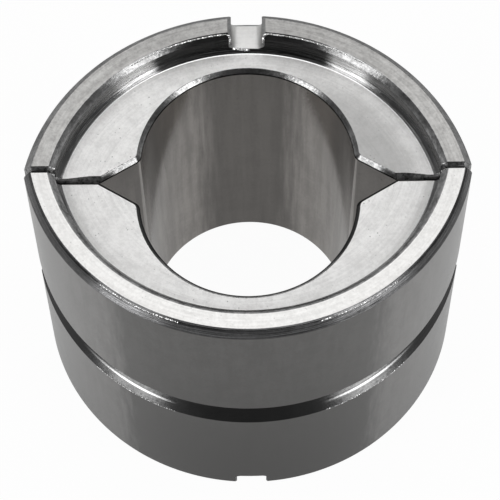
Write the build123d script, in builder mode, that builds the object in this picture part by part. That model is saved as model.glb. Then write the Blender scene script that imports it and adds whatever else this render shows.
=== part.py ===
from build123d import *
import math
import os

# Crimping die: a closed pair of equal half rings that meet on a flat parting plane.
# The pair stands on end. Origin at the centre of its lower end, +Z along the nest,
# +Y towards the rear half. The parting plane is Y = 0. Sizes are in millimetres.

# Turned body of one half
outer_radius = 22.0
centre_offset = 4.0  # how far the turning axis lies beyond the parting plane
die_width = 36.0  # from end rim to end rim
end_chamfer = 0.7

# Recess turned into each end, inside a raised rim
rim_wall = 2.9
recess_depth = 2.4
recess_edge_chamfer = 0.5
recess_foot_chamfer = 0.4

# V groove round the outer wall, half way up
groove_width = 3.4
groove_flank_angle = 45.0  # from the outer wall
groove_root_width = 0.3

# Nest, with a flare on each side that leaves room for the flash
nest_inset = 2.0  # how far the nest's centre lies inside its own half
least_floor_width = 2.65  # between the nest and the recess wall, at the back of a half
floor_land = 4.2  # width of the parting flat between the flare and the recess wall
flare_angle = 32.0  # from the parting plane
nest_corner_radius = 1.0
nest_edge_chamfer = 0.4

# Edge breaks along the parting plane, wider beside the nest at the notched end
parting_chamfer = 0.4
tip_chamfer = 0.6
tip_chamfer_length = 1.9

# Locating notch across the rim of one end
notch_width = 3.1
notch_step = 0.2  # from the recess floor up to the notch's bottom
notch_root_radius = 0.8
notch_edge_break = 0.35
notch_corner_break = 0.2

# Sizes and places that several features share
recess_radius = outer_radius - rim_wall
recess_half_width = math.sqrt(recess_radius**2 - centre_offset**2)  # on the parting plane
nest_radius = recess_radius - centre_offset - nest_inset - least_floor_width
flare_half_width = recess_half_width - floor_land
floor_level = die_width - recess_depth
notch_depth = recess_depth - notch_step
mid_height = die_width / 2
turning_axis = Axis((0, -centre_offset, 0), (0, 0, 1))
turning_plane = Plane.XZ.offset(centre_offset)


def blank_section() -> Sketch:
    """Section of the turned blank, from its axis out to the rims and the outer wall."""
    with BuildSketch(turning_plane) as section:
        Rectangle(outer_radius, die_width, align=(Align.MIN, Align.MIN))
        with Locations((0, 0), (0, floor_level)):
            Rectangle(
                recess_radius,
                recess_depth,
                align=(Align.MIN, Align.MIN),
                mode=Mode.SUBTRACT,
            )
        recess_corners = section.vertices().group_by(Axis.X)[1].sort_by(Axis.Y)
        lower_edge, lower_foot, upper_foot, upper_edge = recess_corners
        chamfer([lower_edge, upper_edge], recess_edge_chamfer)
        chamfer([lower_foot, upper_foot], recess_foot_chamfer)
        chamfer(section.vertices().group_by(Axis.X)[-1], end_chamfer)
    return section.sketch


def groove_section() -> Sketch:
    """Section of the V groove, with a narrow flat at its root."""
    flank_width = (groove_width - groove_root_width) / 2
    root_radius = outer_radius - flank_width * math.tan(math.radians(groove_flank_angle))

    with BuildSketch(turning_plane) as groove:
        with BuildLine():
            Polyline(
                (outer_radius, mid_height - groove_width / 2),
                (root_radius, mid_height - groove_root_width / 2),
                (root_radius, mid_height + groove_root_width / 2),
                (outer_radius, mid_height + groove_width / 2),
                close=True,
            )
        make_face()
    return groove.sketch


def nest_outline() -> Sketch:
    """Outline of the nest's hollow in one half: a round bottom that opens into two flares."""
    flare_peak = flare_half_width * math.tan(math.radians(flare_angle))

    with BuildSketch() as outline:
        with Locations((0, nest_inset)):
            Circle(nest_radius)
        Polygon(
            (-flare_half_width, 0),
            (flare_half_width, 0),
            (0, flare_peak),
            align=None,
        )
        flare_corners = outline.vertices().filter_by(lambda corner: corner.Y > 0)
        fillet(flare_corners, nest_corner_radius)
    return outline.sketch


def notch_section() -> Sketch:
    """Section of the locating notch at the foot of the recess wall, with its edges broken."""
    recess_foot = recess_radius - recess_foot_chamfer - centre_offset

    with BuildSketch(Plane.XZ.offset(-recess_foot)) as notch:
        with Locations((0, die_width)):
            Rectangle(notch_width, notch_depth, align=(Align.CENTER, Align.MAX))
            fillet(notch.vertices().group_by(Axis.Y)[0], notch_root_radius)
            Trapezoid(
                notch_width,
                notch_edge_break,
                left_side_angle=135,
                align=(Align.CENTER, Align.MAX),
            )
    return notch.sketch


def tip_chamfer_section() -> Sketch:
    """Section of the wider edge break where the notched end's floor meets the parting flat."""
    with BuildSketch(Plane.YZ) as tip:
        with BuildLine():
            Polyline(
                (0, floor_level),
                (tip_chamfer, floor_level),
                (0, floor_level - tip_chamfer),
                close=True,
            )
        make_face()
    return tip.sketch


def cut_nest(half: BuildPart) -> None:
    """Cut the nest right through and break its edges at both ends."""
    extrude(nest_outline(), amount=die_width, mode=Mode.SUBTRACT)
    level_edges = half.edges(Select.LAST).filter_by(Plane.XY)
    parting_level_edges = level_edges.group_by(lambda edge: edge.center().Y)[0]
    chamfer(level_edges - parting_level_edges, nest_edge_chamfer)


def break_parting_edges(half: BuildPart) -> None:
    """Break the edges round both parting flats, but for the blunt corners at the flares."""
    flats = half.faces().filter_by(Plane.XZ).group_by(Axis.Y)[0]
    upright_edges = flats.edges().filter_by(Axis.Z)
    flare_corners = upright_edges.group_by(lambda edge: abs(edge.center().X))[0]
    chamfer(flats.edges() - flare_corners, parting_chamfer)

    tip_reach = flare_half_width + tip_chamfer_length
    extrude(tip_chamfer_section(), amount=tip_reach, both=True, mode=Mode.SUBTRACT)


def cut_notch(half: BuildPart) -> None:
    """Mill the locating notch out through the rim and break its four upright corners."""
    extrude(notch_section(), amount=-outer_radius, mode=Mode.SUBTRACT)
    chamfer(half.edges(Select.LAST).filter_by(Axis.Z), notch_corner_break)


os.makedirs("parts", exist_ok=True)

# Rear half: a turned ring, parted short of its axis, with its notch at the upper end
with BuildPart() as rear_die_half:
    revolve(blank_section(), axis=turning_axis, revolution_arc=180)
    revolve(
        groove_section(),
        axis=turning_axis,
        revolution_arc=180,
        mode=Mode.SUBTRACT,
    )
    split(bisect_by=Plane.XZ, keep=Keep.BOTTOM)
    cut_nest(rear_die_half)
    break_parting_edges(rear_die_half)
    cut_notch(rear_die_half)
rear_die_half.part.label = "rear_die_half"
export_step(rear_die_half.part, "parts/rear_die_half.step")

# Front half: the same part turned end for end, so that its notch is at the lower end
with BuildPart() as front_die_half:
    with Locations((0, 0, die_width)):
        add(rear_die_half.part, rotation=(180, 0, 0))
front_die_half.part.label = "front_die_half"
export_step(front_die_half.part, "parts/front_die_half.step")
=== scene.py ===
"""Looks of a closed pair of crimping dies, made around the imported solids."""

import logging
import math
from dataclasses import dataclass, replace
from enum import Enum, IntEnum
from random import Random
from typing import Any

import bmesh
import bpy
from mathutils import Euler, Matrix, Quaternion, Vector
from mathutils.geometry import tessellate_polygon


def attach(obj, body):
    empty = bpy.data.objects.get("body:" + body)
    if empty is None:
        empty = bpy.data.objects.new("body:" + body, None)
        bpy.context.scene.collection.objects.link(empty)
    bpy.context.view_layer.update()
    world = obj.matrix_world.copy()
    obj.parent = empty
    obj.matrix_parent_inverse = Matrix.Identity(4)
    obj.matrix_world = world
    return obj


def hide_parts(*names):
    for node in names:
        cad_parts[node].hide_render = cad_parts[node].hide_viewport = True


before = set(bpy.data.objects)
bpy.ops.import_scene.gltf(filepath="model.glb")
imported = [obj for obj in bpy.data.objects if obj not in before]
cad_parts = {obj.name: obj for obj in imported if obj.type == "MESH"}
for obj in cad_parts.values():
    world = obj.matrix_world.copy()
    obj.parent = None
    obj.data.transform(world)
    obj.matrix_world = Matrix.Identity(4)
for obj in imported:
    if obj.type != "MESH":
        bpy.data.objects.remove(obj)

LOG = logging.getLogger("crimping_die")
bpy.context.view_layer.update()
MM = 0.001
BODY = "root"
Solid = bmesh.types.BMesh
Loop = list[bmesh.types.BMVert]
Materials = list[bpy.types.Material]
Point = tuple[float, float]
Range = tuple[float, float]
Place = tuple[float, float, float]
Colour = tuple[float, float, float]

# Where the axes that each half is turned and bored about cross the Y axis, in millimetres
TURNING_AXIS = -4.0
NEST_AXIS = 2.0

# Levels of a texture between which a mask goes from none to full
TONE_RANGE = (0.36, 0.64)
PITTED_RANGE = (0.42, 0.6)
PIT_RANGE = (0.17, 0.07)
MOTTLE_SHARE = 0.55  # of what the tool marks leave of the tone; the fine grain has the rest

# Heights between which a painted shade goes from none to full, in millimetres
NOTCHED_END = (10.0, 30.0)
PLAIN_END = (30.0, 10.0)
WHOLE_WIDTH = (0.0, 40.0)

WHITE = (1.0, 1.0, 1.0, 1.0)
# Colour of the painted highlight line round the groove
PAINTED_HIGHLIGHT_COLOUR = (0.7, 0.7, 0.7, 1.0)


class Surface(IntEnum):
    """Which machining made a face, and so which finish it gets."""

    RECESS_FLOOR = 0
    PLAIN_RIM = 1
    NOTCHED_RIM = 2
    WALL = 3
    PLAIN_BREAK = 4
    NOTCHED_BREAK = 5
    GROOVE = 6
    RECESS_WALL = 7
    RECESS_BREAK = 8
    NEST = 9
    NEST_BREAK = 10
    DARK_NEST_BREAK = 11
    PARTING = 12
    NOTCH = 13
    FLARE = 14
    BURR = 15
    FOOT_LINE = 16
    GROOVE_ROOT = 17
    LIGHT_BREAK = 18
    FOOT = 19
    TIP = 20
    PLAIN_RECESS_BREAK = 21
    EDGE_LINE = 22

    @property
    def is_flat(self) -> bool:
        """Whether the surface is an end face, which is shaded flat up to its edges."""
        return self <= Surface.NOTCHED_RIM


class Boolean(Enum):
    """How a cutter works on a blank."""

    CUT = "DIFFERENCE"
    KEEP = "INTERSECT"


class Wire:
    """A socket that takes part in arithmetic: each operation adds one Math node."""

    def __init__(self, bench: "Bench", socket: bpy.types.NodeSocket | None) -> None:
        """Wrap an output of a node on the bench."""
        self.bench = bench
        self.socket = socket

    def _math(self, operation: str, *operands: Any) -> "Wire":
        """Add a Math node for one or two numbers or wires."""
        return self.bench.add("ShaderNodeMath", {"operation": operation}, dict(enumerate(operands)))

    def __add__(self, other: Any) -> "Wire":
        """Sum with a number or wire."""
        return self._math("ADD", self, other)

    def __radd__(self, other: Any) -> "Wire":
        """Sum with a number on the left."""
        return self._math("ADD", other, self)

    def __sub__(self, other: Any) -> "Wire":
        """Difference from a number or wire."""
        return self._math("SUBTRACT", self, other)

    def __rsub__(self, other: Any) -> "Wire":
        """Difference of a number on the left and this."""
        return self._math("SUBTRACT", other, self)

    def __mul__(self, other: Any) -> "Wire":
        """Product with a number or wire."""
        return self._math("MULTIPLY", self, other)

    def __rmul__(self, other: Any) -> "Wire":
        """Product with a number on the left."""
        return self._math("MULTIPLY", other, self)

    def __truediv__(self, other: Any) -> "Wire":
        """Quotient by a number or wire."""
        return self._math("DIVIDE", self, other)

    def __rtruediv__(self, other: Any) -> "Wire":
        """Quotient of a number on the left by this."""
        return self._math("DIVIDE", other, self)

    def root(self) -> "Wire":
        """Square root."""
        return self._math("SQRT", self)

    def angle_from(self, across: "Wire") -> "Wire":
        """Angle of the point (across, this) about the origin, in radians."""
        return self._math("ARCTAN2", self, across)

    def ramp(self, none: float, full: float) -> "Wire":
        """Smooth step from 0 at none to 1 at full, whichever of them is higher."""
        inputs = {"Value": self, "From Min": none, "From Max": full}
        return self.bench.add("ShaderNodeMapRange", {"interpolation_type": "SMOOTHSTEP"}, inputs)


class Bench:
    """Adds nodes to one tree."""

    def __init__(self, tree: bpy.types.NodeTree) -> None:
        """Start with an empty tree."""
        self.tree = tree
        tree.nodes.clear()

    def add(
        self,
        kind: str,
        settings: dict[str, Any] | None = None,
        inputs: dict[Any, Any] | None = None,
        output: Any = 0,
    ) -> Wire:
        """Add one node, set it up and connect it.

        Args:
            kind: the node's type.
            settings: its own properties, which are set first.
            inputs: what each input gets, by index or name: a number, a tuple or a wire.
            output: the index or name of the output to hand back.

        Returns:
            The wire of that output.
        """
        node = self.tree.nodes.new(kind)
        for name, value in (settings or {}).items():
            setattr(node, name, value)
        for key, value in (inputs or {}).items():
            socket = self._socket(node.inputs, key)
            if isinstance(value, Wire):
                self.tree.links.new(value.socket, socket)
            else:
                socket.default_value = value
        return Wire(self, self._socket(node.outputs, output) if len(node.outputs) else None)

    @staticmethod
    def _socket(sockets: Any, key: Any) -> bpy.types.NodeSocket:
        """Find an input or output by its index, identifier or name."""
        identified = [socket for socket in sockets if socket.identifier == key]
        return identified[0] if identified else sockets[key]

    def mix(self, share: Any, first: Any, second: Any) -> Wire:
        """Mix two colours, with that share of the second."""
        inputs = {"Factor_Float": share, "A_Color": first, "B_Color": second}
        return self.add("ShaderNodeMix", {"data_type": "RGBA"}, inputs, "Result_Color")

    def vector(self, x: Any, y: Any, z: Any) -> Wire:
        """Join three numbers or wires to a vector."""
        return self.add("ShaderNodeCombineXYZ", None, {0: x, 1: y, 2: z})

    def noise(self, place: Wire, scale: float, detail: float, roughness: float) -> Wire:
        """Noise about 0.5, read at a place."""
        inputs = {"Vector": place, "Scale": scale, "Detail": detail, "Roughness": roughness}
        return self.add("ShaderNodeTexNoise", None, inputs)


@dataclass(frozen=True)
class Marks:
    """Tool marks: how fine they are each way, and how deep.

    The pitches are features per millimetre outwards and upwards and per radian round the axis.
    The depth is in millimetres.
    """

    outward: float = 3.0
    around: float = 3.0
    upward: float = 3.0
    depth: float = 0.001


@dataclass(frozen=True)
class TurningSpace:
    """Coordinates of a surface turned about an upright axis, in millimetres.

    Sideways is 0 in line with the axis, seen from the front, and 1 straight beside it.
    """

    place: Wire
    radius: Wire
    angle: Wire
    height: Wire
    across: Wire
    sideways: Wire

    @classmethod
    def about(cls, bench: Bench, axis_y: float) -> "TurningSpace":
        """Read the place on the piece and turn it into coordinates about an axis.

        Args:
            bench: the material's bench.
            axis_y: where the axis crosses the Y axis, in millimetres.

        Returns:
            The coordinates' wires.
        """
        local = bench.add("ShaderNodeTexCoord", None, None, "Object")
        scaled = {0: local, "Scale": 1 / MM}
        place = bench.add("ShaderNodeVectorMath", {"operation": "SCALE"}, scaled)
        x, y, z = (bench.add("ShaderNodeSeparateXYZ", None, {0: place}, axis) for axis in range(3))
        depth = y - axis_y
        radius = (x * x + depth * depth).root()
        slant = x / radius
        return cls(place, radius, depth.angle_from(x), z, x, slant * slant)

    def streaks(self, marks: Marks) -> Wire:
        """Vector that stretches a texture the way that the tool marks run."""
        outward, around = self.radius * marks.outward, self.angle * marks.around
        return self.place.bench.vector(outward, around, self.height * marks.upward)


@dataclass(frozen=True)
class PaintedReflection:
    """Dark steel before and after a bright stretch, alike on both sides of the middle.

    It is painted reflection and shade, for the dark and bright surroundings that the steel mirrors
    at each azimuth. The places are sideways coordinates. A stretch that starts below 0 is bright
    in the middle. The shift moves the middle to the left, in millimetres. Deeper is how much more
    of the dark steel shows towards the notched end, as painted shade.
    """

    share: float
    bright_from: float
    bright_at: float
    dull_from: float = 2.0
    fade: float = 1.4
    fade_share: float = 1.0
    shift: float = 0.0
    deeper: float = 0.0

    def mask(self, space: TurningSpace, marks: Wire) -> Wire:
        """Find how much of the dark steel shows.

        Args:
            space: the surface's coordinates.
            marks: the tool marks, which make the borders ragged.

        Returns:
            The mask's wire.
        """
        slant = (space.across + self.shift) / space.radius
        ragged = slant * slant + (marks - 0.5) * (self.bright_at - self.bright_from)
        dull = ragged.ramp(self.dull_from, self.dull_from * self.fade) * self.fade_share
        bright = ragged.ramp(self.bright_from, self.bright_at) * (1 - dull)
        deeper = 1 + space.height.ramp(*WHOLE_WIDTH) * self.deeper
        return (1 - bright) * self.share * deeper


@dataclass(frozen=True)
class PaintedShade:
    """Painted shade: a darker colour over the part of a surface where each of its ranges counts.

    A range gives where a coordinate begins to count and where it counts fully.
    """

    share: float
    height: Range
    radius: Range | None = None
    across: Range | None = None
    sideways: Range | None = None

    def mask(self, space: TurningSpace) -> Wire:
        """Find how much of the shade there is.

        Args:
            space: the surface's coordinates.

        Returns:
            The mask's wire.
        """
        shade = space.height.ramp(*self.height) * self.share
        for name in ("radius", "across", "sideways"):
            limits = getattr(self, name)
            if limits:
                shade = shade * getattr(space, name).ramp(*limits)
        return shade


@dataclass(frozen=True)
class SteelFinish:
    """Bare tool steel as one cut leaves it, plus painted light and shade. Sizes are in millimetres.
    """

    name: str
    light: Colour
    dark: Colour
    roughness: float
    marks: Marks = Marks()
    # painted reflections and shade, by azimuth
    painted_reflection: PaintedReflection | None = None
    # painted shade over parts of the surface
    painted_shades: tuple[PaintedShade, ...] = ()
    axis_y: float = TURNING_AXIS
    metallic: float = 1.0
    marks_share: float = 0.3
    mottle_pitch: float = 0.6
    roughness_spread: float = 0.1
    grain_pitch: float = 3.5
    grain_depth: float = 0.005
    pit_pitch: float = 1.1
    pit_share: float = 0.35
    pit_depth: float = 0.004
    # radius of a painted highlight line round the axis, 0 for none
    painted_highlight_at: float = 0.0
    painted_highlight_reach: float = 0.12
    edge_tint: float = 1.0
    # share of the dark colour in the pits and in the painted shade and reflections
    pit_and_shade_share: float = 0.35

    def material(self) -> bpy.types.Material:
        """Make the finish's material.

        Returns:
            The material.
        """
        made = bpy.data.materials.new(self.name)
        made.use_nodes = True
        bench = Bench(made.node_tree)
        space = TurningSpace.about(bench, self.axis_y)
        mottle = bench.noise(space.place, self.mottle_pitch, detail=5.0, roughness=0.65)
        marks = bench.noise(space.streaks(self.marks), 1.0, detail=3.0, roughness=0.65)
        grain = bench.noise(space.place, self.grain_pitch, detail=3.0, roughness=0.7)
        pits = self.pits(space) * mottle.ramp(*PITTED_RANGE)
        rest = 1 - self.marks_share
        tone = mottle * (rest * MOTTLE_SHARE) + marks * self.marks_share
        tone = (tone + grain * (rest * (1 - MOTTLE_SHARE))).ramp(*TONE_RANGE)
        colour = bench.mix(tone, (*self.dark, 1.0), (*self.light, 1.0))
        # Colour of the pits, and of the painted shade and painted reflections laid over the steel
        pit_and_shade_colour = (*(channel * self.pit_and_shade_share for channel in self.dark), 1.0)
        colour = bench.mix(pits * self.pit_share, colour, pit_and_shade_colour)
        # A painted highlight line, then painted reflections and shade, then painted shade
        if self.painted_highlight_at:
            colour = bench.mix(self.line(space), colour, PAINTED_HIGHLIGHT_COLOUR)
        if self.painted_reflection:
            colour = bench.mix(self.painted_reflection.mask(space, marks), colour, pit_and_shade_colour)
        if self.painted_shades:
            colour = bench.mix(sum(shade.mask(space) for shade in self.painted_shades), colour, pit_and_shade_colour)
        height = marks * self.marks.depth + grain * self.grain_depth - pits * self.pit_depth
        relief = {"Strength": 1.0, "Distance": MM, "Height": height}
        steel = {
            "Base Color": colour,
            "Metallic": self.metallic,
            "Roughness": self.roughness + (mottle - 0.5) * self.roughness_spread,
            "Normal": bench.add("ShaderNodeBump", None, relief),
            "Specular Tint": (*grey(self.edge_tint), 1.0),
        }
        shader = bench.add("ShaderNodeBsdfPrincipled", None, steel)
        bench.add("ShaderNodeOutputMaterial", None, {"Surface": shader})
        return made

    def pits(self, space: TurningSpace) -> Wire:
        """Mask that is 1 in small round pits, scattered over the surface."""
        inputs = {"Vector": space.place, "Scale": self.pit_pitch}
        return space.place.bench.add("ShaderNodeTexVoronoi", None, inputs).ramp(*PIT_RANGE)

    def line(self, space: TurningSpace) -> Wire:
        """Mask that is 1 on a painted highlight line round the axis."""
        inside = space.radius.ramp(self.painted_highlight_at - self.painted_highlight_reach, self.painted_highlight_at)
        return inside * space.radius.ramp(self.painted_highlight_at + self.painted_highlight_reach, self.painted_highlight_at)


def grey(level: float) -> Colour:
    """Neutral colour of a level."""
    return level, level, level


def finishes() -> Materials:
    """Make every finish, in the order of Surface.

    Returns:
        One material for each kind of surface.
    """
    turned = Marks(outward=4.0, around=2.0, upward=4.0, depth=0.0012)
    scored = Marks(outward=9.0, around=1.3, upward=9.0, depth=0.05)
    smooth = Marks(outward=5.0, around=1.2, upward=5.0, depth=0.006)
    ringed = Marks(outward=0.3, around=1.0, upward=7.0, depth=0.09)
    filed = Marks(outward=4.0, around=40.0, upward=4.0, depth=0.012)
    drawn = Marks(outward=0.2, around=9.0, upward=0.06, depth=0.003)
    ground = Marks(outward=0.2, around=30.0, upward=0.2, depth=0.002)
    # The sideways patterns of dark and light steel below are painted reflections and shade.
    made = {
        Surface.RECESS_FLOOR: SteelFinish(
            "faced_recess_steel", (0.93, 0.925, 0.915), (0.7, 0.695, 0.686), 0.42, turned,
            # Painted shade on the notched end's floor, right and middle, and by the wall's foot at
            # the plain end
            painted_shades=(
                PaintedShade(0.62, NOTCHED_END, radius=(19.5, 15.0), across=(0.0, 12.0)),
                PaintedShade(0.124, NOTCHED_END, sideways=(0.3, 0.0)),
                PaintedShade(0.4, PLAIN_END, radius=(17.3, 18.5), sideways=(0.35, 0.85)),
            ),
            metallic=0.3, pit_pitch=1.7, pit_share=0.7,
        ),
        Surface.PLAIN_RIM: SteelFinish(
            "faced_rim_steel", (0.7, 0.695, 0.685), (0.53, 0.525, 0.515), 0.3, turned,
            mottle_pitch=1.2, pit_pitch=2.2, pit_share=0.5,
        ),
        Surface.NOTCHED_RIM: SteelFinish(
            "notched_rim_steel", (0.48, 0.475, 0.465), (0.28, 0.276, 0.27), 0.32, turned,
            PaintedReflection(0.2, 0.1, 0.6), mottle_pitch=1.2, pit_pitch=2.2,
        ),
        # Painted shade: steel darkened, most in the middle and towards the notched end, for the
        # floor it mirrors
        Surface.WALL: SteelFinish(
            "ground_wall_steel", (0.222, 0.218, 0.213), (0.16, 0.157, 0.152), 0.22, ground,
            PaintedReflection(0.6, 0.27, 0.4, dull_from=0.62, fade_share=0.5, deeper=0.6),
            (PaintedShade(0.22, WHOLE_WIDTH),), pit_share=0.15, edge_tint=0.9,
        ),
        # Painted shade: the break's colours are darkened, lighter only where it mirrors the lamps
        Surface.PLAIN_BREAK: SteelFinish(
            "edge_break_steel", (0.32, 0.32, 0.325), grey(0.06), 0.15, scored,
            PaintedReflection(0.55, 0.1, 0.16, dull_from=0.42, fade=1.25), marks_share=0.7,
        ),
        # Painted shade: a grey specular tint dims the break's glancing reflections
        Surface.NOTCHED_BREAK: SteelFinish(
            "notched_break_steel", grey(0.4), grey(0.18), 0.3, scored, edge_tint=0.4
        ),
        # Painted shade: dark flank colours, with a painted highlight line round the groove
        Surface.GROOVE: SteelFinish(
            "groove_steel", grey(0.2), grey(0.08), 0.25, smooth,
            PaintedReflection(1.0, 0.11, 0.18, dull_from=0.45), painted_highlight_at=21.42, pit_and_shade_share=0.9,
        ),
        Surface.RECESS_WALL: SteelFinish(
            "recess_wall_steel", grey(0.85), grey(0.5), 0.12, ringed,
            PaintedReflection(0.97, 0.18, 0.24, dull_from=0.36, fade=1.3, fade_share=0.7, shift=0.49),
            marks_share=0.6, pit_and_shade_share=0.08,
        ),
        Surface.RECESS_BREAK: SteelFinish(
            "recess_break_steel", grey(0.42), grey(0.15), 0.2, filed, PaintedReflection(0.85, 0.08, 0.2)
        ),
        Surface.NEST: SteelFinish(
            "drawn_nest_steel", (0.43, 0.408, 0.387), (0.3, 0.285, 0.27), 0.17, drawn,
            PaintedReflection(0.7, 0.08, 0.33), axis_y=NEST_AXIS,
            marks_share=0.5, mottle_pitch=0.3, pit_share=0.25,
        ),
        Surface.NEST_BREAK: SteelFinish(
            "nest_break_steel", grey(0.6), grey(0.15), 0.2, filed,
            PaintedReflection(0.5, 0.02, 0.1, dull_from=0.38, fade_share=0.8), axis_y=NEST_AXIS,
        ),
        Surface.DARK_NEST_BREAK: SteelFinish(
            "dark_nest_break_steel", grey(0.75), grey(0.35), 0.3, filed,
            PaintedReflection(0.96, -0.02, -0.01, dull_from=0.3, fade=2.5),
            axis_y=NEST_AXIS, edge_tint=0.4, pit_and_shade_share=0.15,
        ),
        Surface.PARTING: SteelFinish("parting_steel", grey(0.36), grey(0.04), 0.3, filed),
        Surface.NOTCH: SteelFinish(
            "milled_notch_steel", (0.86, 0.855, 0.845), (0.76, 0.755, 0.746), 0.5, turned,
            PaintedReflection(0.85, -0.002, -0.0019, dull_from=0.0014, fade=5.0),
            metallic=0.6, pit_and_shade_share=0.14,
        ),
        Surface.BURR: SteelFinish("burr_steel", grey(0.98), grey(0.85), 0.2, roughness_spread=0.0),
    }
    made[Surface.LIGHT_BREAK] = replace(
        made[Surface.RECESS_BREAK],
        name="light_break_steel", light=grey(0.4), dark=grey(0.1), painted_reflection=None,
    )
    made[Surface.PLAIN_RECESS_BREAK] = replace(
        made[Surface.LIGHT_BREAK], name="plain_recess_break_steel", metallic=0.6
    )
    made[Surface.EDGE_LINE] = replace(
        made[Surface.PARTING],
        name="edge_line_steel", light=grey(0.08), dark=grey(0.02), edge_tint=0.2,
    )
    made[Surface.TIP] = replace(
        made[Surface.PARTING], name="tip_steel", light=grey(0.5), dark=grey(0.05)
    )
    made[Surface.FOOT] = replace(
        made[Surface.RECESS_WALL], name="recess_foot_steel", light=grey(0.55), dark=grey(0.3)
    )
    made[Surface.FLARE] = replace(
        made[Surface.NEST],
        name="flare_steel", light=(0.23, 0.218, 0.207), dark=(0.165, 0.157, 0.149), painted_reflection=None,
    )
    made[Surface.GROOVE_ROOT] = replace(
        made[Surface.GROOVE],
        name="groove_bed_steel", light=grey(0.4), dark=grey(0.25), roughness=0.15,
    )
    made[Surface.FOOT_LINE] = replace(
        made[Surface.RECESS_FLOOR],
        name="foot_line_steel", light=grey(0.9), dark=grey(0.7), roughness=0.15, metallic=1.0,
        painted_reflection=PaintedReflection(0.6, -0.02, -0.01, dull_from=0.38),
    )
    return [made[surface].material() for surface in Surface]


def unit(vector: Point) -> Point:
    """Scale a plane vector to length 1."""
    length = math.hypot(*vector)
    return vector[0] / length, vector[1] / length


def aimed(turn: float) -> Vector:
    """Plane vector of length 1 in a direction."""
    return Vector((math.cos(turn), math.sin(turn)))


@dataclass(frozen=True)
class Corner:
    """A corner of a section, with the round that softens it and the surface that follows it."""

    across: float
    up: float
    surface: Surface
    round: float = 0.06
    steps: int = 3


def softened(corners: list[Corner]) -> tuple[list[Point], list[Surface]]:
    """Round the corners of a closed section.

    Args:
        corners: the section's corners, in order.

    Returns:
        The section's points, and the surface of the side that follows each.
    """
    points: list[Point] = []
    sides: list[Surface] = []
    for index, corner in enumerate(corners):
        before, after = corners[index - 1], corners[(index + 1) % len(corners)]
        if corner.round == 0:
            points.append((corner.across, corner.up))
            sides.append(corner.surface)
            continue
        back = unit((before.across - corner.across, before.up - corner.up))
        ahead = unit((after.across - corner.across, after.up - corner.up))
        half = math.acos(max(-1.0, min(1.0, back[0] * ahead[0] + back[1] * ahead[1]))) / 2
        inward = unit((back[0] + ahead[0], back[1] + ahead[1]))
        reach, touch = corner.round / math.sin(half), corner.round / math.tan(half)
        across, up = corner.across + inward[0] * reach, corner.up + inward[1] * reach
        start, end = (
            math.atan2(corner.up + leg[1] * touch - up, corner.across + leg[0] * touch - across)
            for leg in (back, ahead)
        )
        sweep = (end - start + math.pi) % math.tau - math.pi
        for step in range(corner.steps + 1):
            turn = start + sweep * step / corner.steps
            points.append(
                (across + corner.round * math.cos(turn), up + corner.round * math.sin(turn))
            )
            first_half = 2 * step < corner.steps and not before.surface.is_flat
            still_before = first_half or corner.surface.is_flat
            at_end = step == corner.steps
            sides.append(before.surface if still_before and not at_end else corner.surface)
    return points, sides


def belt(solid: Solid, loop: Loop, following: Loop) -> list[bmesh.types.BMFace]:
    """Join two closed loops with a belt of faces.

    Args:
        solid: the shape that the loops are in.
        loop: one loop's corners.
        following: the other's, as many.

    Returns:
        The faces, in the loops' order.
    """
    ahead = [*range(1, len(loop)), 0]
    return [
        solid.faces.new((loop[index], loop[after], following[after], following[index]))
        for index, after in enumerate(ahead)
    ]


def stacked(levels: list[list[Vector]], surface: Surface) -> Solid:
    """Make a closed solid through a stack of outlines.

    Args:
        levels: outlines with equal numbers of points, in order.
        surface: the surface that the solid's faces leave where they cut.

    Returns:
        The solid.
    """
    solid = bmesh.new()
    loops = [[solid.verts.new(point) for point in level] for level in levels]
    for lower, upper in zip(loops, loops[1:]):
        belt(solid, lower, upper)
    solid.faces.new(loops[0])
    solid.faces.new(loops[-1])
    for face in solid.faces:
        face.material_index = surface
    bmesh.ops.recalc_face_normals(solid, faces=solid.faces)
    return solid


def as_object(name: str, solid: Solid, materials: Materials) -> bpy.types.Object:
    """Turn a solid into an object of the scene.

    Args:
        name: the object's name.
        solid: its shape, which is used up.
        materials: its material slots.

    Returns:
        The object.
    """
    mesh = bpy.data.meshes.new(name)
    solid.to_mesh(mesh)
    solid.free()
    for material in materials:
        mesh.materials.append(material)
    made = bpy.data.objects.new(name, mesh)
    bpy.context.scene.collection.objects.link(made)
    return made


def worked(blank: bpy.types.Object, cutter: bpy.types.Object, how: Boolean) -> None:
    """Cut a blank with a cutter and discard the cutter.

    Args:
        blank: the object that is cut.
        cutter: the other solid.
        how: whether the cutter's inside is cut away or kept.
    """
    step = blank.modifiers.new("cut", "BOOLEAN")
    step.operation = how.value
    step.solver = "EXACT"
    step.object = cutter
    graph = bpy.context.evaluated_depsgraph_get()
    result = bpy.data.meshes.new_from_object(blank.evaluated_get(graph), depsgraph=graph)
    blank.modifiers.remove(step)
    used = (blank.data, cutter.data)
    blank.data = result
    bpy.data.objects.remove(cutter)
    for mesh in used:
        bpy.data.meshes.remove(mesh)


@dataclass(frozen=True)
class Burr:
    """Ragged burr along an edge: a chain of small lumps. Sizes are in millimetres."""

    path: list[Place]
    lumps: int
    size: float

    def raise_on(self, solid: Solid, chance: Random) -> None:
        """Add the lumps to a solid.

        Args:
            solid: the piece's shape.
            chance: where the lumps' places, sizes and turns come from.
        """
        path = [Vector(place) for place in self.path]
        for index in range(self.lumps):
            leg, share = divmod((len(path) - 1) * (index + chance.random()) / self.lumps, 1.0)
            centre = path[int(leg)].lerp(path[int(leg) + 1], share)
            reach = Vector([self.size * chance.uniform(0.35, 1.0) for _ in range(3)])
            turn = Euler([chance.uniform(0.0, math.pi) for _ in range(3)])
            place = Matrix.LocRotScale(centre, turn, reach)
            lump = bmesh.ops.create_icosphere(solid, subdivisions=1, radius=1.0, matrix=place)
            for vert in lump["verts"]:
                for face in vert.link_faces:
                    face.material_index = Surface.BURR


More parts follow.
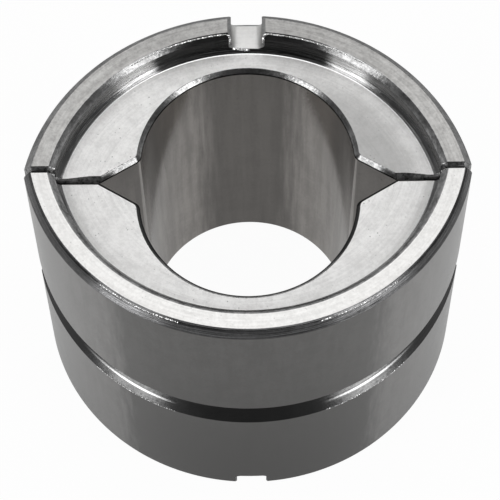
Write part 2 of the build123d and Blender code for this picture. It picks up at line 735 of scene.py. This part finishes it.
@dataclass
class DieHalf:
    """One half ring: turned, parted beside its axis, and cut through for its half of the nest.

    Sizes are in millimetres. The half stands as the rear one does, with its notch at the top.
    """

    name: str
    node: str
    turned_over: bool
    outer_radius: float = 22.0
    axis_y: float = TURNING_AXIS
    width: float = 36.0
    end_chamfer: float = 0.7
    plain_out: float = 0.55
    plain_up: float = 0.8
    plain_round: float = 0.35
    wall_round: float = 0.25
    notched_round: float = 0.16
    recess_radius: float = 19.1
    recess_depth: float = 2.4
    recess_edge: float = 0.5
    recess_round: float = 0.05
    recess_edge_round: float = 0.12
    foot_across: float = 0.5
    foot_up: float = 0.3
    foot_round: float = 0.08
    foot_line: float = 0.09
    foot_lip: float = 0.019
    groove_half_width: float = 1.7
    groove_root: float = 0.4
    groove_bed: float = 20.75
    nest_radius: float = 10.45
    nest_centre: float = NEST_AXIS
    nest_steps: int = 90
    flare_end: float = 14.476
    flare_from: float = 10.7
    flare_angle: float = math.radians(32.0)
    flare_lead: float = 3.0
    nest_corner: float = 1.0
    nest_corner_steps: int = 8
    nest_edge: float = 0.38
    edge_line: float = 0.2
    narrow_share: float = 0.78
    narrow_from: float = 9.6
    narrow_run: float = 1.4
    parting_edge: float = 0.36
    outer_spare: float = 0.099
    mould_spare: float = 0.5
    mould_slope: float = 2.2
    tip_edge: float = 0.6
    tip_reach: float = 15.4
    tip_fade: float = 2.0
    tip_spare: float = 0.5
    notch_half_width: float = 1.55
    notch_bottom: float = 33.86
    notch_root: float = 0.6
    notch_edge: float = 0.35
    notch_corner: float = 0.2
    notch_drop: float = 0.2
    bore_of_blank: float = 2.0
    turn_steps: int = 240
    bow_legs: int = 6

    def section(self) -> list[Corner]:
        """Corners of the turned section, from the blank's bore round the outside and back.

        Returns:
            The corners, in order.
        """
        top, floor, middle = self.width, self.width - self.recess_depth, self.width / 2
        wall, recess = self.outer_radius, self.recess_radius
        rim_in, rim_out = recess + self.recess_edge, wall - self.end_chamfer
        root, foot = wall - self.groove_half_width, recess - self.foot_across
        end, edge, inner = self.notched_round, self.recess_edge, self.recess_round
        return [
            Corner(self.bore_of_blank, self.recess_depth, Surface.RECESS_FLOOR, 0),
            Corner(foot - self.foot_line, self.recess_depth, Surface.FOOT_LINE, 0),
            Corner(foot, self.recess_depth - self.foot_lip, Surface.FOOT, 0),
            Corner(recess, self.recess_depth - self.foot_up, Surface.RECESS_WALL, self.foot_round),
            Corner(recess, edge, Surface.PLAIN_RECESS_BREAK, inner, 2),
            Corner(rim_in, 0.0, Surface.PLAIN_RIM, self.plain_round, 5),
            Corner(wall - self.plain_out, 0.0, Surface.PLAIN_BREAK, self.plain_round, 6),
            Corner(wall, self.plain_up, Surface.WALL, self.wall_round, 4),
            Corner(wall, middle - self.groove_half_width, Surface.GROOVE),
            Corner(root, middle, Surface.GROOVE, self.groove_root, 5),
            Corner(wall, middle + self.groove_half_width, Surface.WALL),
            Corner(wall, top - self.end_chamfer, Surface.NOTCHED_BREAK, end, 4),
            Corner(rim_out, top, Surface.NOTCHED_RIM, end, 4),
            Corner(rim_in, top, Surface.RECESS_BREAK, self.recess_edge_round),
            Corner(recess, top - edge, Surface.RECESS_WALL, inner, 2),
            Corner(recess, floor + self.foot_up, Surface.FOOT, self.foot_round),
            Corner(foot, floor + self.foot_lip, Surface.FOOT_LINE, 0),
            Corner(foot - self.foot_line, floor, Surface.RECESS_FLOOR, 0),
            Corner(self.bore_of_blank, floor, Surface.NEST, 0),
        ]

    def blank(self) -> Solid:
        """Turn the section half way round the axis.

        Returns:
            The blank's solid.
        """
        points, sides = softened(self.section())
        for index, (point, after) in enumerate(zip(points, points[1:])):
            if sides[index] == Surface.GROOVE and max(point[0], after[0]) < self.groove_bed:
                sides[index] = Surface.GROOVE_ROOT
        solid = bmesh.new()
        loops = []
        for step in range(self.turn_steps + 1):
            turn = math.pi * step / self.turn_steps
            right, back = math.cos(turn), math.sin(turn)
            loops.append(
                [
                    solid.verts.new((across * right, self.axis_y + across * back, up))
                    for across, up in points
                ]
            )
        for loop, following in zip(loops, loops[1:]):
            for face, side in zip(belt(solid, loop, following), sides):
                face.material_index = side
        for loop in (loops[0], loops[-1]):
            solid.faces.new(loop).material_index = Surface.PARTING
        bmesh.ops.recalc_face_normals(solid, faces=solid.faces)
        return solid

    def nest_outline(self) -> list[tuple[Vector, Vector]]:
        """Outline of the nest in this half, with the direction into the steel at each point.

        Returns:
            Points and unit vectors, from the right flare round to the left one.
        """
        along = Vector((-math.cos(self.flare_angle), math.sin(self.flare_angle)))
        into = Vector((math.sin(self.flare_angle), math.cos(self.flare_angle)))
        end = Vector((self.flare_end, 0.0))
        centre = Vector((0.0, self.nest_centre))
        reach = self.nest_radius + self.nest_corner
        offset = end + into * self.nest_corner - centre
        lead = offset.dot(along)
        run = -lead - math.sqrt(lead * lead - offset.dot(offset) + reach * reach)
        corner = centre + offset + along * run
        right = [(end - along * self.flare_lead, into), (end + along * (run / 2), into)]
        first, last = math.atan2(-into.y, -into.x), math.atan2(*(centre - corner).yx)
        sweep = (last - first + math.pi) % math.tau - math.pi
        for step in range(self.nest_corner_steps + 1):
            ray = aimed(first + sweep * step / self.nest_corner_steps)
            right.append((corner + ray * self.nest_corner, -ray))
        start = math.atan2(*(corner - centre).yx)
        arc = []
        for step in range(1, self.nest_steps):
            ray = aimed(start + (math.pi - 2 * start) * step / self.nest_steps)
            arc.append((centre + ray * self.nest_radius, ray))
        left = [
            (Vector((-point.x, point.y)), Vector((-ray.x, ray.y))) for point, ray in reversed(right)
        ]
        return right + arc + left

    @staticmethod
    def break_slopes(size: float) -> list[Point]:
        """Section of an edge break that is softened at both ends.

        Args:
            size: the break's width and depth.

        Returns:
            Pairs of depth below the end face and spread into the steel.
        """
        clear, soft, lip = 0.6, 0.03, 0.02
        wide, widest, run_out = 0.12, 0.2, 0.17
        return [
            (-clear, size + widest),
            (-lip, size + wide),
            (soft, size - lip),
            (size - soft, soft),
            (size + run_out, 0.0),
        ]

    def nest_cutter(self) -> Solid:
        """Solid that cuts the nest and softens and breaks its edges at both ends.

        Returns:
            The cutter.
        """
        floor, slopes = self.recess_depth, self.break_slopes(self.nest_edge)
        stack = [(floor + depth, spread) for depth, spread in slopes]
        stack += [(self.width - floor - depth, spread) for depth, spread in reversed(slopes)]
        low, high = floor + self.nest_edge, self.width - floor - self.nest_edge
        outline = self.nest_outline()
        even, narrowed = [1.0] * len(outline), []
        for point, _ in outline:
            run = min(max(abs(point.x) - self.narrow_from, 0.0), self.narrow_run)
            narrowed.append(1 + (self.narrow_share - 1) * run / self.narrow_run)
        levels = [
            [
                Vector((*(point + ray * spread * share), height))
                for (point, ray), share in zip(outline, narrowed if height < low else even)
            ]
            for height, spread in stack
        ]
        cutter = stacked(levels, Surface.NEST)
        for face in cutter.faces:
            middle = face.calc_center_median()
            in_flare = abs(middle.x) > self.flare_from
            if middle.z < low:
                face.material_index = Surface.DARK_NEST_BREAK
            elif middle.z > high:
                face.material_index = Surface.LIGHT_BREAK if in_flare else Surface.NEST_BREAK
            elif middle.z > high - self.edge_line:
                face.material_index = Surface.EDGE_LINE
            elif in_flare:
                face.material_index = Surface.FLARE
        return cutter

    def parting_outline(self, depth: float, inset: float) -> list[Point]:
        """Right-hand section of the half at a depth behind the parting plane, made smaller.

        Args:
            depth: distance behind the parting plane.
            inset: how far each side but the nest's moves in.

        Returns:
            Points (across, up).
        """
        arm = depth - self.axis_y
        line_end = self.recess_radius - self.foot_across - self.foot_line
        ring = [corner for corner in self.section() if corner.across > line_end]
        corners = [(math.sqrt(corner.across**2 - arm**2), corner.up) for corner in ring]
        on_wall = [False, *(corner.across == self.outer_radius for corner in ring), False]
        inner = self.flare_end - self.mould_spare - self.mould_slope * depth
        corners.insert(0, (inner, self.recess_depth))
        corners.append((inner, self.width - self.recess_depth))
        count = len(corners)
        lines = []
        for index in range(count):
            (x0, z0), (x1, z1) = corners[index], corners[(index + 1) % count]
            across, up = unit((x1 - x0, z1 - z0))
            shift = 0.0 if index == count - 1 else inset
            if on_wall[index] and on_wall[index + 1]:
                shift += self.outer_spare
            lines.append(((x0 - up * shift, z0 + across * shift), (across, up)))
        outline = []
        for index in range(count):
            (px, pz), (ux, uz) = lines[index - 1]
            (qx, qz), (vx, vz) = lines[index]
            run = ((qx - px) * vz - (qz - pz) * vx) / (ux * vz - uz * vx)
            outline.append((px + ux * run, pz + uz * run))
        return outline

    def parting_mould(self) -> Solid:
        """Solid that the half has to fit in: the parting flats with their broken edges.

        Returns:
            The mould, which opens out behind the flats.
        """
        edge, soft, lip, clear = self.parting_edge, 0.03, 0.02, 0.05
        run_out, widest, dark_depth, near_floor = 0.15, 0.2, 0.1, 0.5
        stages = [
            (0.0, edge + clear),
            (soft, edge - lip),
            (edge - soft, soft),
            (edge + clear, -soft),
            (edge + run_out, -widest),
        ]
        solid = bmesh.new()
        rims = []
        for side in (1, -1):
            loops = [
                [
                    solid.verts.new((side * across, depth, up))
                    for across, up in self.parting_outline(depth, inset)
                ]
                for depth, inset in stages
            ]
            for loop, following in zip(loops, loops[1:]):
                belt(solid, loop, following)
            solid.faces.new(loops[0])
            rims.append(loops[-1])
        near, reach = stages[-1][0], 2 * self.outer_radius
        corners = [(-reach, -reach), (reach, -reach), (reach, 2 * reach), (-reach, 2 * reach)]
        front, back = (
            [solid.verts.new((across, depth, up)) for across, up in corners]
            for depth in (near, reach)
        )
        belt(solid, front, back)
        solid.faces.new(back)
        rims.insert(0, front)
        flat = [vert for rim in rims for vert in rim]
        for triangle in tessellate_polygon([[vert.co for vert in rim] for rim in rims]):
            solid.faces.new([flat[index] for index in triangle])
        for face in solid.faces:
            middle = face.calc_center_median()
            in_break = 0 < middle.y < edge + dark_depth
            dark = in_break and abs(middle.z - self.recess_depth) < near_floor
            face.material_index = Surface.DARK_NEST_BREAK if dark else Surface.PARTING
        bmesh.ops.recalc_face_normals(solid, faces=solid.faces)
        return solid

    def notch_cutter(self) -> Solid:
        """Solid that mills the locating notch out through the rim.

        Returns:
            The cutter.
        """
        half, top = self.notch_half_width, self.width
        edge, corner, above = self.notch_edge, self.notch_corner, 0.6
        right = [
            Corner(half, self.notch_bottom, Surface.NOTCH, self.notch_root, steps=10),
            Corner(half, top - edge, Surface.NOTCH, steps=2),
            Corner(half + edge + above, top + above, Surface.NOTCH, 0),
        ]
        left = [replace(mirrored, across=-mirrored.across) for mirrored in reversed(right)]
        outline, _ = softened(right + left)
        inner = math.sqrt(self.recess_radius**2 - half**2) + self.axis_y
        outer = math.sqrt(self.outer_radius**2 - half**2) + self.axis_y
        clear, soft, thin, wide, widest = 1.0, 0.06, 0.02, corner + 0.05, corner + 0.08
        stages = [
            (inner - clear, widest, 0.0),
            (inner - thin, wide, 0.0),
            (inner + corner, thin, 0.0),
            (inner + corner + soft, 0.0, 0.0),
            (outer - corner - soft, 0.0, 0.0),
            (outer - corner, thin, thin),
            (outer + soft, wide, self.notch_drop),
            (outer + clear, widest, self.notch_drop + 0.05),
        ]
        levels = [
            [Vector((across * (1 + spread / half), depth, up - drop)) for across, up in outline]
            for depth, spread, drop in stages
        ]
        cutter = stacked(levels, Surface.NOTCH)
        for face in cutter.faces:
            middle = face.calc_center_median()
            inner_corner = middle.y < inner + corner and abs(middle.x) > half
            if middle.z > top - edge or inner_corner or middle.y > outer - corner:
                face.material_index = Surface.NOTCHED_BREAK
        return cutter

    def tip_cutter(self) -> Solid:
        """Prism that widens the edge break where the notched end's floor meets the flats.

        Returns:
            The cutter.
        """
        floor, spare = self.width - self.recess_depth, self.tip_spare
        full, none = self.tip_edge, self.parting_edge
        far, near, inner = self.tip_reach + self.tip_fade, self.tip_reach, self.flare_end
        places = (-far, -near, -inner, inner, near, far)
        levels = [
            [
                Vector((across, size + spare, floor + spare)),
                Vector((across, -spare, floor + spare)),
                Vector((across, -spare, floor - size - spare)),
            ]
            for across, size in zip(places, (none, full, full, full, full, none))
        ]
        cutter = stacked(levels, Surface.TIP)
        for face in cutter.faces:
            if abs(face.calc_center_median().x) < inner:
                face.material_index = Surface.LIGHT_BREAK
        return cutter

    def bow(self, radius: float, height: float, first: float, last: float) -> list[Place]:
        """Part of a circle about the turning axis.

        Args:
            radius: the circle's radius.
            height: its height.
            first: the azimuth that it starts from, in degrees.
            last: the azimuth that it ends at.

        Returns:
            Points along it.
        """
        points = []
        for step in range(self.bow_legs + 1):
            turn = math.radians(first + (last - first) * step / self.bow_legs)
            back = self.axis_y + radius * math.sin(turn)
            points.append((radius * math.cos(turn), back, height))
        return points

    def burrs(self) -> list[Burr]:
        """Burrs that the cuts left at the notch, the groove, the flares, the rims and the parting.

        Returns:
            The burrs of one half.
        """
        top, half, lip = self.width, self.notch_half_width, self.recess_edge
        behind, bed, floor = self.parting_edge, self.notch_bottom, top - self.recess_depth
        arm = behind - self.axis_y
        wall = math.sqrt(self.recess_radius**2 - arm**2)
        rim = math.sqrt((self.recess_radius + lip) ** 2 - arm**2)
        back = math.sqrt(self.recess_radius**2 - half**2) + self.axis_y
        edge = self.width / 2 + self.groove_half_width
        sill = [
            (-1.35, back, bed + 0.05),
            (-0.7, back - 0.05, bed - 0.05),
            (0.35, back - 0.1, bed - 0.2),
        ]
        jamb = [
            (half + 0.5, back + lip - 0.12, top - 0.18),
            (half + 0.2, back + lip - 0.2, top - 0.24),
            (half + 0.1, back + 0.05, top - 0.5),
            (half + 0.1, back, top - 1.2),
        ]
        flare = [(14.0, 0.75, floor), (12.1, 1.95, floor)]
        paired = [
            Burr([(wall, behind, lip), (rim, behind, 0.12)], lumps=6, size=0.1),
            Burr([(wall, behind, top - lip), (rim, behind, top - 0.12)], lumps=6, size=0.1),
            Burr(jamb, lumps=13, size=0.17),
            Burr(flare, lumps=16, size=0.07),
            Burr(self.bow(self.outer_radius, edge, 110, 135), lumps=60, size=0.09),
            Burr(self.bow(self.recess_radius + 0.42, top - 0.13, 96, 126), lumps=200, size=0.12),
            Burr(self.bow(self.outer_radius - 0.5, 0.13, 108, 130), lumps=70, size=0.12),
        ]
        made = [Burr(sill, lumps=34, size=0.2)]
        for side in (1, -1):
            for burr in paired:
                made.append(replace(burr, path=[(side * x, y, z) for x, y, z in burr.path]))
        return made

    def build(self, materials: Materials) -> bpy.types.Object:
        """Make the half, put it in its place, hide the imported part and attach it to the body.

        Args:
            materials: the finishes, in the order of Surface.

        Returns:
            The finished piece.
        """
        piece = as_object(self.name, self.blank(), materials)
        for name, cutter, how in (
            ("mould", self.parting_mould(), Boolean.KEEP),
            ("nest", self.nest_cutter(), Boolean.CUT),
            ("tip", self.tip_cutter(), Boolean.CUT),
            ("notch", self.notch_cutter(), Boolean.CUT),
        ):
            worked(piece, as_object(name, cutter, materials), how)
        self.clean(piece)
        piece.data.transform(Matrix.Scale(MM, 4))
        if self.turned_over:
            lift = Matrix.Translation((0.0, 0.0, self.width * MM))
            piece.matrix_world = lift @ Matrix.Rotation(math.pi, 4, "X")
        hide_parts(self.node)
        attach(piece, BODY)
        return piece

    def clean(self, piece: bpy.types.Object) -> None:
        """Join what the cuts left too close together, add burrs, and shade curves smoothly.

        Args:
            piece: the half, in millimetres.
        """
        weld, sliver, crease = 0.004, 0.002, math.radians(27)
        solid = bmesh.new()
        solid.from_mesh(piece.data)
        bmesh.ops.remove_doubles(solid, verts=solid.verts, dist=weld)
        bmesh.ops.dissolve_degenerate(solid, edges=solid.edges, dist=sliver)
        chance = Random(self.name)
        for burr in self.burrs():
            burr.raise_on(solid, chance)
        for face in solid.faces:
            face.smooth = True
        for edge in solid.edges:
            kinds = [Surface(face.material_index) for face in edge.link_faces]
            bent = len(kinds) == 2 and edge.calc_face_angle(0.0) > crease
            edge.smooth = not (bent or any(kind.is_flat for kind in kinds) and len(set(kinds)) > 1)
        solid.to_mesh(piece.data)
        solid.free()
        weights = piece.modifiers.new("face_weights", "WEIGHTED_NORMAL")
        weights.keep_sharp = True


@dataclass(frozen=True)
class Softbox:
    """A rectangular lamp. Lengths are in metres and the lean in degrees."""

    name: str
    place: Place
    aim: Place
    width: float
    height: float
    radiance: float
    lean: float = 0.0

    def hang(self) -> None:
        """Put the lamp in the scene."""
        lamp = bpy.data.lights.new(self.name, "AREA")
        lamp.shape = "RECTANGLE"
        lamp.size, lamp.size_y = self.width, self.height
        lamp.energy = self.radiance * math.pi * self.width * self.height
        made = bpy.data.objects.new(self.name, lamp)
        bpy.context.scene.collection.objects.link(made)
        made.location = self.place
        ray = Vector(self.aim) - Vector(self.place)
        turn = ray.to_track_quat("-Z", "Y") @ Quaternion((0, 0, 1), math.radians(self.lean))
        made.rotation_euler = turn.to_euler()


@dataclass
class Studio:
    """Pale floor, dim room and softboxes."""

    floor_radius: float = 4.0
    floor_sides: int = 96
    floor_colour: float = 0.88
    seen_glow: float = 0.965
    mirrored_glow: float = 0.4
    room_glow: float = 0.12
    rear_glow: float = 0.28
    low_glow: float = 0.5
    rear_range: Range = (-0.3, 0.5)
    low_range: Range = (0.32, 0.1)
    boxes: tuple[Softbox, ...] = (
        Softbox("softbox_above", (0.0, 0.17, 1.19), (0.0, 0.0, 0.03), 0.8, 0.8, 1.42),
        Softbox("softbox_behind", (0.0, 0.73, 0.95), (0.0, 0.0, 0.03), 0.8, 0.45, 0.9),
        Softbox("softbox_left", (-1.0, -0.73, 1.15), (0.0, -0.73, 1.15), 0.64, 1.9, 3.4, 15.0),
        Softbox("softbox_right", (1.0, -0.73, 1.15), (0.0, -0.73, 1.15), 0.64, 1.9, 3.4, -15.0),
    )

    def lay_floor(self) -> None:
        """Lay a round floor under the dies."""
        disc, radius = bmesh.new(), self.floor_radius
        bmesh.ops.create_circle(disc, cap_ends=True, segments=self.floor_sides, radius=radius)
        as_object("floor", disc, [self.floor_material()])

    def floor_material(self) -> bpy.types.Material:
        """Matt pale floor that keeps the dies' shadow but looks nearly white.

        Returns:
            The material.
        """
        made = bpy.data.materials.new("pale_floor")
        made.use_nodes = True
        bench = Bench(made.node_tree)
        rays = ("Is Camera Ray", "Is Glossy Ray", "Is Transmission Ray")
        seen, mirrored, passed = (bench.add("ShaderNodeLightPath", None, None, ray) for ray in rays)
        matt = bench.add("ShaderNodeBsdfDiffuse", None, {"Color": (*grey(self.floor_colour), 1.0)})
        white = bench.add("ShaderNodeEmission", None, {"Color": WHITE, "Strength": 1.0})
        share = seen * self.seen_glow + (mirrored + passed) * self.mirrored_glow
        mixed = bench.add("ShaderNodeMixShader", None, {0: share, 1: matt, 2: white})
        bench.add("ShaderNodeOutputMaterial", None, {"Surface": mixed})
        return made

    def light_room(self) -> None:
        """Give the room its own dim light: pale near the floor, dark in front, mid grey behind."""
        world = bpy.data.worlds.new("room")
        bpy.context.scene.world = world
        world.use_nodes = True
        bench = Bench(world.node_tree)
        ray = bench.add("ShaderNodeTexCoord", None, None, "Generated")
        depth = bench.add("ShaderNodeSeparateXYZ", None, {0: ray}, 1)
        height = bench.add("ShaderNodeSeparateXYZ", None, {0: ray}, 2)
        rear = depth.ramp(*self.rear_range) * self.rear_glow
        level = self.room_glow + rear + height.ramp(*self.low_range) * self.low_glow
        sky = bench.add("ShaderNodeBackground", None, {"Color": WHITE, "Strength": level})
        bench.add("ShaderNodeOutputWorld", None, {"Surface": sky})

    def set_up(self) -> None:
        """Lay the floor, light the room and hang the softboxes."""
        self.lay_floor()
        self.light_room()
        for box in self.boxes:
            box.hang()
        bpy.context.scene.view_settings.view_transform = "Standard"


@dataclass(frozen=True)
class PhotoCamera:
    """Camera at the photograph's place, looking down by its pitch.

    Lengths are in millimetres and angles in degrees.
    """

    place: Place = (0.217, -105.359, 214.461)
    pitch: float = 61.642
    roll: float = -0.699
    yaw: float = 0.0595
    lens: float = 155.493

    def set_up(self) -> None:
        """Put the camera in the scene and make it the scene's own."""
        data = bpy.data.cameras.new("photo_camera")
        data.lens = self.lens
        data.sensor_width = 36.0
        data.clip_start = 0.01
        data.clip_end = 20.0
        camera = bpy.data.objects.new("photo_camera", data)
        bpy.context.scene.collection.objects.link(camera)
        stand = Matrix.Translation(Vector(self.place) * MM)
        for turn, axis in ((self.yaw, "Z"), (90 - self.pitch, "X"), (self.roll, "Z")):
            stand @= Matrix.Rotation(math.radians(turn), 4, axis)
        camera.matrix_world = stand
        bpy.context.scene.camera = camera


def main() -> None:
    """Build the studio and the pair of dies, and report each piece."""
    logging.basicConfig(level=logging.INFO, format="%(message)s")
    PhotoCamera().set_up()
    Studio().set_up()
    materials = finishes()
    for half in (
        DieHalf("rear_die", "rear_die_half", turned_over=False),
        DieHalf("front_die", "front_die_half", turned_over=True),
    ):
        piece = half.build(materials)
        LOG.info("%s: %d faces", piece.name, len(piece.data.polygons))


if __name__ == "__main__":
    main()
